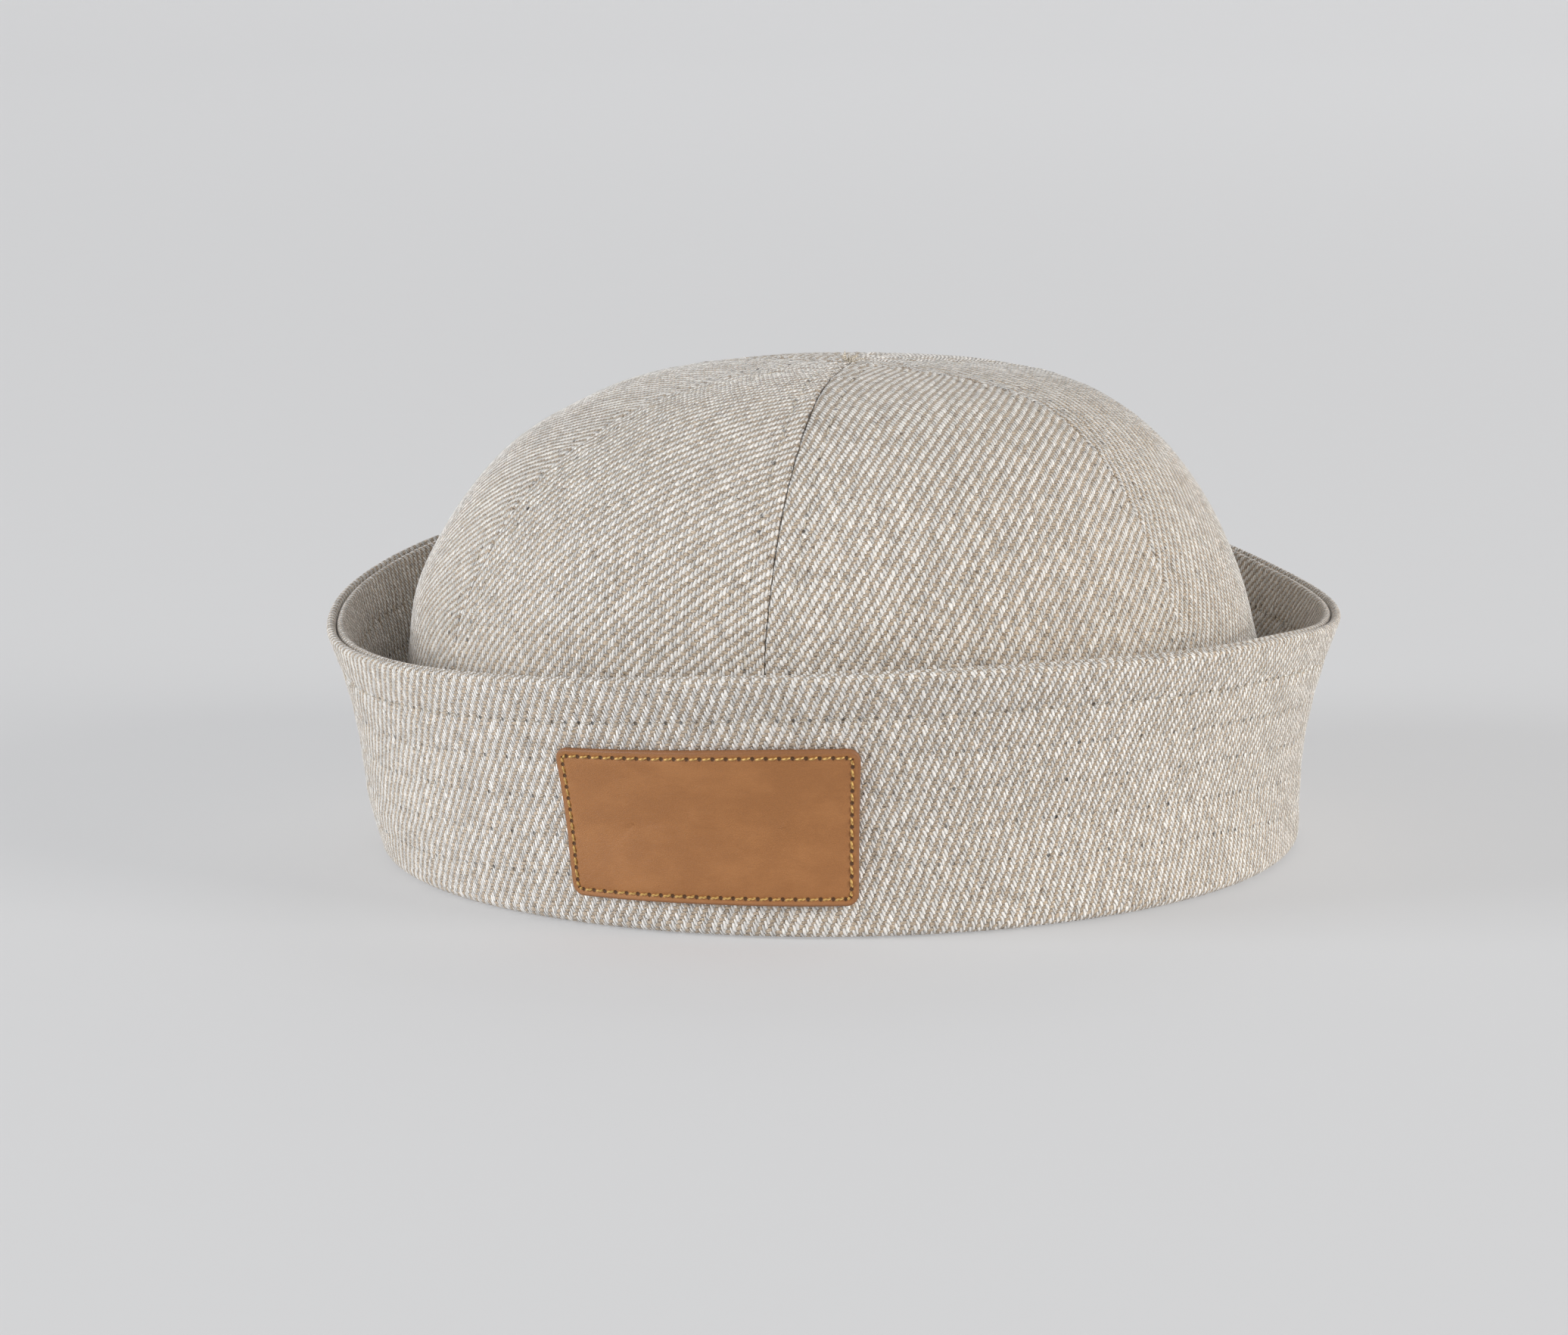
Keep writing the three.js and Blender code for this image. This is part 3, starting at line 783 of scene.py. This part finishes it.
class Panel:
    """One crown panel laid out flat: u runs across from its middle, v up from its foot."""

    def __init__(self, first, last):
        self.span = (first, last)
        self.front_side = -1 if first == 0 else 1 if last == 360 else 0
        self.middle = (first + last) / 2
        self.positions = np.linspace(0, TIP_POSITION, 600)
        line = crown_point(self.span, np.full(600, self.middle), self.positions)
        self.lengths = distances(line)
        self.top = self.lengths[-1]
        across = np.linspace(first, last, 41)
        grid = crown_point(self.span, across, self.positions[:, None])
        widths = np.linalg.norm(np.diff(grid, axis=1), axis=2).sum(1)
        self.half = (widths - VISUAL_SEAM_GAP) / 2
        slope = np.abs(np.gradient(self.half, self.lengths))
        self.bend = np.minimum(slope / (2 * np.maximum(self.half, 1)), MOST_BEND)

    def half_width(self, v):
        return np.interp(v, self.lengths, self.half)

    def bow(self, u, v):
        """How much higher a place lies on the flat cloth than its level at the middle."""
        return np.interp(v, self.lengths, self.bend) * u * u

    def on_row(self, row, u):
        """The height at which a rib of the twill crosses u."""
        v = row + RIB_RISE * u
        for _ in range(12):
            v = row + RIB_RISE * u - self.bow(u, v)
        return v

    def base(self, u, v):
        position = np.interp(v, self.lengths, self.positions)
        half = self.half_width(v)
        reach = (self.span[1] - self.span[0]) / 2
        gap = VISUAL_SEAM_GAP / 2 / (half + VISUAL_SEAM_GAP / 2)
        azimuth = self.middle + u / half * reach * (1 - gap)
        return crown_point(self.span, azimuth, position)

    def normal(self, u, v):
        step = 0.15
        low, high = np.maximum(v - step, 0), np.minimum(v + step, self.top)
        around = self.base(u + step, v) - self.base(u - step, v)
        upward = self.base(u, high) - self.base(u, low)
        return unit(np.cross(around, upward))

    def inside(self, u, v):
        """How far inside the panel's outline a place is; under 0 outside it."""
        held = np.clip(v, 0, self.top)
        return np.minimum(self.half_width(held) - np.abs(u), np.minimum(v, self.top - v))

    def surface(self, u, v, depth=0.0, relief=1.0, roll=1.0):
        """A point under the outside by depth, with folds, ribs and rolled seam edges."""
        base, normal = self.base(u, v), self.normal(u, v)
        edge = np.maximum(self.half_width(v) - np.abs(u), 0)
        seed = self.middle + 40 * np.sign(u)
        pucker = 0
        for size, length, times in PUCKERS:
            pucker = pucker + size * np.sin(math.tau * v / length + times * seed)
        pucker = pucker * np.exp(-edge / 5) * smooth_step(0, 20, v) * (1 - np.exp(-edge / 0.8))
        push = CROWN_WAVES * waves(base) * smooth_step(15, 60, v) + pucker - depth
        near = np.clip(SEAM_ROUND - edge, 0, SEAM_ROUND)
        rope = 1 + ROPE_SIZE * np.sin(math.tau * v / ROPE_LENGTH + 1.5 * np.sin(v / 5.3))
        rolled = rope * np.where(np.sign(u) == self.front_side, FRONT_ROLL, OTHER_ROLL)
        rolled = rolled * (SEAM_ROUND - np.sqrt(np.maximum(SEAM_ROUND**2 - near**2, 0)))
        groove = SEAM_ROW_PULL * np.exp(-((past_seam_row(u, edge) / SEAM_ROW_REACH) ** 2))
        push = push - roll * (rolled + groove)
        push = push + relief * CROWN_RELIEF * rib(u, v + self.bow(u, v))
        return base + normal * push[..., None]


def rib_rows(panel):
    """For each row along a rib, its height at u = 0 and the two ends of its u range."""
    v = np.linspace(0, panel.top, 2000)
    w = panel.half_width(v)
    lowest, highest = (-RIB_RISE * w).min() - 5, (v + RIB_RISE * w).max() + 5
    first = math.ceil(lowest / RIB_STEP) + 0.5
    rows = np.arange(first * RIB_STEP, highest, RIB_STEP)
    u = np.linspace(-w.max(), w.max(), 1601)
    depth = panel.inside(u, panel.on_row(rows[:, None], u))
    kept = (depth > 0).sum(1) > 1
    rows, depth = rows[kept], depth[kept]
    ends = []
    for side in (-1, 1):
        good = np.where(depth > 0, side * u, -1e9).max(1) * side
        bad = good + side * (u[1] - u[0])
        for _ in range(30):
            try_at = (good + bad) / 2
            is_in = panel.inside(try_at, panel.on_row(rows, try_at)) > 0
            good, bad = np.where(is_in, try_at, good), np.where(is_in, bad, try_at)
        ends.append(good)
    return rows, *ends


def crowded(count, length):
    """Places from 0 to 1 that crowd toward both ends, for rows of the given lengths."""
    middle = np.linspace(0, 1, count - 2 * len(EDGE_COLUMNS) + 2)[1:-1]
    length = length[:, None]
    edge = EDGE_COLUMNS * np.minimum(1, length / SHORT_ROW) / length
    last = edge[:, -1:]
    return np.concatenate([edge, last + (1 - 2 * last) * middle, 1 - edge[:, ::-1]], 1)


def crown_piece(index, label, first, last):
    panel = Panel(first, last)
    rows, low, high = rib_rows(panel)
    length = (high - low) * math.hypot(1, RIB_RISE)
    low, width = low[:, None], (high - low)[:, None]
    outer_u = low + width * crowded(OUTSIDE_COLUMNS, length)
    inner_u = low + width * np.linspace(1, 0, INSIDE_COLUMNS)

    def lift(u):
        return np.clip(panel.on_row(rows[:, None], u), 0, panel.top)

    outer_v, inner_v = lift(outer_u), lift(inner_u)
    outer = panel.surface(outer_u, outer_v)
    inner = panel.surface(inner_u, inner_v, depth=CROWN_CLOTH, relief=0.0, roll=0.0)
    points = np.concatenate([outer, inner], 1)
    u = np.concatenate([outer_u, inner_u, outer_u[:, :1]], 1)
    v = np.concatenate([outer_v, inner_v, outer_v[:, :1]], 1)
    # Each panel is cut from a place of its own in the cloth
    shift = 100 * RIB_TURNS * WARP_PITCH * index
    mirrored = np.ones(u.shape[1])
    mirrored[OUTSIDE_COLUMNS:-1] = -1
    weave = np.stack([u * mirrored + shift, v + panel.bow(u, v)], -1)
    half = panel.half_width(v)
    off = np.where(half > MAP_NARROW, np.clip(past_seam_row(u, half - np.abs(u)), -3, 3), 3)
    maps = {"Weave": weave, "Sew": np.stack([v / SEAM_STITCH, off], -1)}
    mesh = grid_mesh("crown_" + label, points, maps, caps=True)
    finish_object("crown_" + label, mesh, CLOTH, "cloth", "crown_panel_" + label)
    return panel


panels = [crown_piece(index, *panel) for index, panel in enumerate(PANELS)]


# Stitches

CUFF_STITCH_GAP, CUFF_STITCH_SUNK = 0.35, -0.30
SEAM_STITCH_GAP, SEAM_STITCH_SUNK = 0.45, 0.14


def tubes_mesh(name, points, label, values, turned=False):
    """Closed tubes from rings of points, with one map value for each point. Turned faces
    split along their other diagonal."""
    count, steps, sides = points.shape[:3]
    base = (np.arange(count) * steps * sides)[:, None, None]
    i = np.arange(steps - 1)[:, None]
    k = np.arange(sides)
    here, there = base + i * sides, base + (i + 1) * sides
    after = (k + 1) % sides
    corners = [there + k, there + after, here + after, here + k]
    faces = np.stack(corners[turned:] + corners[:turned], -1).reshape(-1, 4).tolist()
    for n in range(count):
        first = n * steps * sides
        last = first + (steps - 1) * sides
        faces += [list(range(first, first + sides)), list(range(last, last + sides))[::-1]]
    values = values.reshape(-1, 2)[np.concatenate(faces)]
    return new_mesh(name, points, faces, {label: values})


def stitch_piece(name, stitches, radius, lift, sides, steps, material):
    """Short arched threads, each with its start, its end and the way out of the cloth."""
    starts, ends, normals = np.swapaxes(stitches, 0, 1)
    t = np.linspace(0, 1, steps)
    aside = unit(np.cross(unit(ends - starts), normals))
    arch = np.sin(math.pi * t) ** 0.7
    swell = 0.45 + 0.55 * np.sin(math.pi * t) ** 0.5
    centre = starts[:, None] + (ends - starts)[:, None] * t[:, None]
    centre = centre + normals[:, None] * (lift * (arch - 0.45))[:, None]
    turn = np.arange(sides) / sides * math.tau
    spoke = normals[:, None, None] * np.cos(turn)[:, None]
    spoke = spoke + aside[:, None, None] * np.sin(turn)[:, None]
    points = centre[:, :, None] + spoke * (radius * swell)[:, None, None]
    run = t[:, None] * np.linalg.norm(ends - starts, axis=1)[:, None, None]
    values = np.stack(np.broadcast_arrays(run, turn / math.tau), -1)
    finish_object(name, tubes_mesh(name, points, "Thread", values), material, "thread")


def cuff_stitches(name, outer):
    half, face, middle, drop = layer_sizes(outer)
    rng = np.random.default_rng(11 if outer else 12)

    def at(arc, depth, proud):
        azimuth = azimuth_at(arc)
        share = 1 - depth / wall_length(azimuth)
        return wall_point(azimuth, share, middle + face * (half + proud), 0.0, drop)

    stitches = []
    for index, row in enumerate(CUFF_ROWS):
        shift = index * ROW_STAGGER
        first = math.ceil((-ROUND / 2) / CUFF_STITCH + shift) + 1
        last = math.floor((ROUND / 2) / CUFF_STITCH + shift) - 1
        arc = (np.arange(first, last) - shift) * CUFF_STITCH
        depth = row + rng.normal(0, 0.06, len(arc))
        start = at(arc + CUFF_STITCH_GAP, depth, CUFF_STITCH_SUNK)
        end = at(arc + CUFF_STITCH - CUFF_STITCH_GAP, depth, CUFF_STITCH_SUNK)
        halfway = arc + CUFF_STITCH / 2
        out = unit(at(halfway, row, 1.0) - at(halfway, row, 0.0))
        stitches.append(np.stack([start, end, out], 1))
    stitch_piece(name, np.concatenate(stitches), 0.15, 0.12, 5, 4, CREAM_THREAD)


cuff_stitches("cuff_stitches_outside", True)
cuff_stitches("cuff_stitches_inside", False)


def crown_stitches():
    stitches = []
    for panel in panels:
        for side, inset in ((-1, SEAM_ROW_AFTER), (1, SEAM_ROW_BEFORE)):
            foot = np.arange(2, int(panel.top / SEAM_STITCH)) * SEAM_STITCH
            for v0 in foot[panel.half_width(foot + SEAM_STITCH) > THREAD_NARROW]:
                v = np.array([v0 + SEAM_STITCH_GAP, v0 + SEAM_STITCH - SEAM_STITCH_GAP])
                u = side * (panel.half_width(v) - inset)
                ends = panel.surface(u, v, depth=SEAM_STITCH_SUNK, relief=0.0)
                stitches.append([*ends, panel.normal(u, v)[0]])
    stitch_piece("crown_stitches", stitches, 0.16, 0.14, 6, 5, CREAM_THREAD)


crown_stitches()


# Tapes over the seams inside the crown

HALF_TAPE, TAPE_THICKNESS, TAPE_TOP = 6.0, 0.5, CROWN_CLOTH + 0.15
TAPE_STEPS, TAPE_COLUMNS = 70, 7
TAPE_FOOT, TAPE_SHORT_OF_TIP = 9.5, 3


def seam_tapes():
    points, values = [], []
    for index, panel in enumerate(panels):
        before = panels[index - 1]
        for row in np.linspace(TAPE_FOOT, panel.top - TAPE_SHORT_OF_TIP, TAPE_STEPS):
            narrow = min(panel.half_width(row), before.half_width(row)) / (HALF_TAPE + 1)
            side = np.linspace(-HALF_TAPE, HALF_TAPE, TAPE_COLUMNS) * min(1.0, narrow)
            for depth, offsets in ((TAPE_TOP, side), (TAPE_TOP + TAPE_THICKNESS, side[::-1])):
                for offset in offsets:
                    owner, sign = (panel, -1) if offset >= 0 else (before, 1)
                    v = np.array([row * owner.top / panel.top])
                    u = sign * (owner.half_width(v) - abs(offset))
                    points.append(owner.surface(u, v, depth=depth, relief=0.0, roll=0.0)[0])
                    values.append((offset, row))
    points = np.reshape(points, (len(panels), TAPE_STEPS, 2 * TAPE_COLUMNS, 3))
    mesh = tubes_mesh("seam_tapes", points, "Weave", np.array(values), turned=True)
    finish_object("seam_tapes", mesh, TAPE, "cloth")


seam_tapes()


# The leather patch

PATCH_SAMPLES = 420
PATCH_EDGE = 0.5
PATCH_GROOVE, GROOVE_REACH = 0.16, 0.45
PATCH_INSETS = (0.75, 1.0, 1.25, 1.5, 1.75, 2.0, 2.4, 3.0, 4.0)
PATCH_INSETS += (5.2, 6.6, 8.2, 9.8, 11.4, 13.0, 14.6, 15.3)
# Shares of a stitch where the patch's thread comes out and goes in
THREAD_OUT, THREAD_IN = 0.16, 0.84


def patch_place(across, up, proud):
    """A point over the cuff, from distances to the patch's centre and above the cloth."""
    wall_rise = rim_height(PATCH_AZIMUTH) - OUTER_CLOTH / 2 - FOOT
    centre = PATCH_FROM_FOLD + PATCH_HEIGHT / 2 - FOOT
    offset = wall_middle(PATCH_AZIMUTH, centre / wall_rise, 0.0)[0]
    leather_middle = offset + OUTER_CLOTH / 2 + LAYER_GAP + LEATHER / 2
    turn = np.linspace(-30, 30, 1201)
    ring = beside_fold(PATCH_AZIMUTH + turn, leather_middle, np.zeros_like(turn))
    arc = distances(ring)
    arc -= np.interp(0, turn, arc)
    azimuth = PATCH_AZIMUTH + np.interp(across, arc, turn)
    return wall_point(azimuth, (centre + up) / wall_rise, OUTER_CLOTH / 2 + LAYER_GAP + proud)


def patch_loop(inset, samples):
    """Points round the patch's outline, moved inward by inset, and their shares of it."""
    half_x, half_y = PATCH_WIDTH / 2, PATCH_HEIGHT / 2
    corner = max(PATCH_CORNER - inset, 0.25)
    side_x, side_y = half_x - PATCH_CORNER, half_y - PATCH_CORNER
    quarter = math.pi / 2 * PATCH_CORNER
    # From the middle of the right side, by way of the four corners
    end = [quarter, 2 * side_x, quarter]
    stops = np.cumsum([0, side_y, *end, 2 * side_y, *end, side_y])
    share = np.arange(samples) / samples
    place = share * stops[-1]
    x = np.interp(place, stops, [1, 1, 1, -1, -1, -1, -1, 1, 1, 1])
    y = np.interp(place, stops, [0, 1, 1, 1, 1, -1, -1, -1, -1, 0])
    angle = np.interp(place, stops, [0, 0, 1, 1, 2, 2, 3, 3, 4, 4]) * math.pi / 2
    x = x * (half_x - inset - corner) + corner * np.cos(angle)
    y = y * (half_y - inset - corner) + corner * np.sin(angle)
    return np.stack([x, y], -1), share


def patch_levels():
    """Inset and height of the patch's loops: under its edge, round it and over the front."""
    under = [(1 - math.sin(a), 1 - math.cos(a)) for a in np.radians((0, 30, 60, 90))]
    over = [(1 - math.cos(a), math.sin(a) - 1) for a in np.radians((0, 22, 45, 68, 90))]
    levels = [(PATCH_EDGE * x, PATCH_EDGE * z) for x, z in under]
    levels += [(0.0, LEATHER / 2)]
    levels += [(PATCH_EDGE * x, LEATHER + PATCH_EDGE * z) for x, z in over]
    for inset in PATCH_INSETS:
        groove = PATCH_GROOVE * math.exp(-(((inset - PATCH_SEAM) / GROOVE_REACH) ** 2))
        slope = 0.10 * math.exp(-inset / 0.9)
        levels.append((inset, LEATHER - groove - slope))
    return levels


def patch_piece():
    rows, edges, flats = [], [], []

    def add(loop, share, inset, proud):
        rows.append(patch_place(loop[:, 0], loop[:, 1], proud))
        round_at = np.append(share, 1.0) * PATCH_STITCHES
        edges.append(np.stack([np.full(len(round_at), inset), round_at], -1))
        flats.append(np.vstack([loop, loop[:1]]))

    for inset, proud in patch_levels():
        loop, share = patch_loop(inset, PATCH_SAMPLES)
        wave = 0.05 * np.sin(share * math.tau * 5)
        add(loop, share, inset, proud + wave * smooth_step(0, LEATHER, proud))
    # The last loop lies on the centre line, where its two sides meet
    add(loop * (1, 0), share, inset, LEATHER)
    maps = {"Edge": np.array(edges), "Face": np.array(flats)}
    mesh = grid_mesh("patch", np.array(rows), maps)

    # Join the sides that meet on the centre line, and close the back
    work = bmesh.new()
    work.from_mesh(mesh)
    bmesh.ops.remove_doubles(work, verts=work.verts, dist=1e-6)
    bmesh.ops.holes_fill(work, edges=[e for e in work.edges if e.is_boundary], sides=0)
    work.to_mesh(mesh)
    work.free()
    finish_object("patch", mesh, LEATHER_MATERIAL, "leather", "leather_patch")


patch_piece()


def patch_stitches():
    rng = np.random.default_rng(5)
    stitches = []
    loop, _ = patch_loop(PATCH_SEAM, 2880)
    pitch = len(loop) / PATCH_STITCHES

    def at(place, proud):
        return patch_place(place[0:1], place[1:2], proud)[0]

    for n in range(PATCH_STITCHES):
        a, b = (loop[int((n + share) * pitch) % len(loop)] for share in (THREAD_OUT, THREAD_IN))
        way = unit(b - a)
        aside = np.array([-way[1], way[0]]) * (0.16 + rng.normal(0, 0.03))
        middle = (a + b) / 2
        out = unit(at(middle, LEATHER + 1) - at(middle, LEATHER))
        stitches.append([at(a - aside, LEATHER - 0.12), at(b + aside, LEATHER - 0.12), out])
    stitch_piece("patch_stitches", stitches, 0.25, 0.24, 8, 9, GOLD_THREAD)


patch_stitches()


# The small knot of thread where the seams meet


def crown_tuft():
    rng = np.random.default_rng(3)
    threads = []
    tip = np.array([CROWN_LEAN * CROWN_LEVELS[-1, 2], 0.0, CROWN_HEIGHT])
    for _ in range(14):
        turn = rng.uniform(0, math.tau)
        lean = rng.uniform(0.3, 1.2)
        start = tip + np.array([rng.normal(0, 0.35), rng.normal(0, 0.35), -0.5])
        out = math.sin(lean)
        way = np.array([math.cos(turn) * out, math.sin(turn) * out, math.cos(lean)])
        end = start + way * rng.uniform(1.6, 3.0)
        threads.append([start, end, unit(np.cross(way, [0.3, 0.7, -0.2]))])
    stitch_piece("crown_tuft", threads, 0.17, 0.5, 6, 7, CREAM_THREAD)


crown_tuft()


# The floor, which curves up far away into a pale wall, in metres

FLOOR_RADIUS, FLOOR_SWEEP, WALL_TOP = 2.7, 1.7, 2.4
FLOOR_SIDES = 96
FLOOR_DROP = 0.0002


def studio_floor():
    profile = [(0.3, 0.0), (0.8, 0.0), (1.6, 0.0), (FLOOR_RADIUS, 0.0)]
    for turn in np.arange(1, 17) / 16 * math.pi / 2:
        out, up = math.sin(turn), 1 - math.cos(turn)
        profile.append((FLOOR_RADIUS + FLOOR_SWEEP * out, FLOOR_SWEEP * up))
    profile.append((FLOOR_RADIUS + FLOOR_SWEEP, WALL_TOP))
    turn = np.arange(FLOOR_SIDES) / FLOOR_SIDES * math.tau
    circle = np.stack([np.cos(turn), np.sin(turn)], 1)
    points = [(0, 0, 0), *((r * x, r * y, z) for r, z in profile for x, y in circle)]
    faces = []
    for k in range(FLOOR_SIDES):
        m = (k + 1) % FLOOR_SIDES
        faces.append((0, 1 + k, 1 + m))
        for a in range(1, 1 + (len(profile) - 1) * FLOOR_SIDES, FLOOR_SIDES):
            b = a + FLOOR_SIDES
            faces.append((a + k, b + k, b + m, a + m))
    mesh = bpy.data.meshes.new("studio_floor")
    mesh.from_pydata(points, [], faces)
    mesh.polygons.foreach_set("use_smooth", np.ones(len(mesh.polygons), bool))
    mesh.materials.append(floor_material())
    made = link("studio_floor", mesh)
    made.location.z = -FLOOR_DROP


studio_floor()


# Lights, and the camera at the photograph's viewing angle

SUBJECT = np.array([0.0, 0.0, 0.05])
LIGHT_SIZE = 1.6
LIGHTS = [
    ("key", (-2.8, -1.3, 0.95), 77, (0.955, 0.978, 1.0)),
    ("fill", (2.9, -1.0, 0.95), 70, (1.0, 0.975, 0.935)),
    ("front", (0.2, -3.0, 0.9), 2.5, (1.0, 1.0, 1.0)),
    ("back", (0.4, 2.6, 1.9), 12, (1.0, 1.0, 1.0)),
]
PHOTO_WIDTH = 2072
AZIMUTH, ELEVATION, ROLL = math.radians(7.6), math.radians(8.65), math.radians(-0.21)
DISTANCE = 1.25
FOCAL_PIXELS = 7934
SUBJECT_RIGHT, SUBJECT_UP = 69.0, 90.1
SENSOR = 36


def softbox(name, place, power, colour):
    data = bpy.data.lights.new(name, "AREA")
    data.shape = "SQUARE"
    data.size = LIGHT_SIZE
    data.energy = power
    data.color = colour
    made = link(name, data)
    made.location = place
    aim = Vector((SUBJECT - place).tolist())
    made.rotation_mode = "QUATERNION"
    made.rotation_quaternion = aim.to_track_quat("-Z", "Y")
    made.visible_camera = False


for _light in LIGHTS:
    softbox(*_light)

world = bpy.data.worlds.new("studio")
world.use_nodes = True
background = world.node_tree.nodes["Background"].inputs
background["Color"].default_value = (0.91, 0.91, 0.92, 1.0)
background["Strength"].default_value = 0.38
bpy.context.scene.world = world
bpy.context.scene.view_settings.view_transform = "Standard"
bpy.context.scene.view_settings.look = "None"


def photo_camera():
    sa, ca = math.sin(AZIMUTH), math.cos(AZIMUTH)
    se, ce = math.sin(ELEVATION), math.cos(ELEVATION)
    back = np.array([sa * ce, -ca * ce, se])
    right = np.array([ca, sa, 0.0])
    place = SUBJECT + back * DISTANCE
    right = math.cos(ROLL) * right + math.sin(ROLL) * np.cross(back, right)
    up = np.cross(back, right)
    # Turned so that the subject stands beside the middle of the frame, as in the photograph
    back = unit(back + (right * SUBJECT_RIGHT + up * SUBJECT_UP) / FOCAL_PIXELS)
    right = unit(np.cross(up, back))
    up = np.cross(back, right)
    data = bpy.data.cameras.new("photo")
    data.sensor_width = SENSOR
    data.lens = FOCAL_PIXELS * SENSOR / PHOTO_WIDTH
    data.clip_start, data.clip_end = 0.05, 50
    made = link("photo", data)
    rows = np.stack([right, up, back, place], 1).tolist()
    made.matrix_world = Matrix([*rows, [0.0, 0.0, 0.0, 1.0]])
    bpy.context.scene.camera = made


photo_camera()
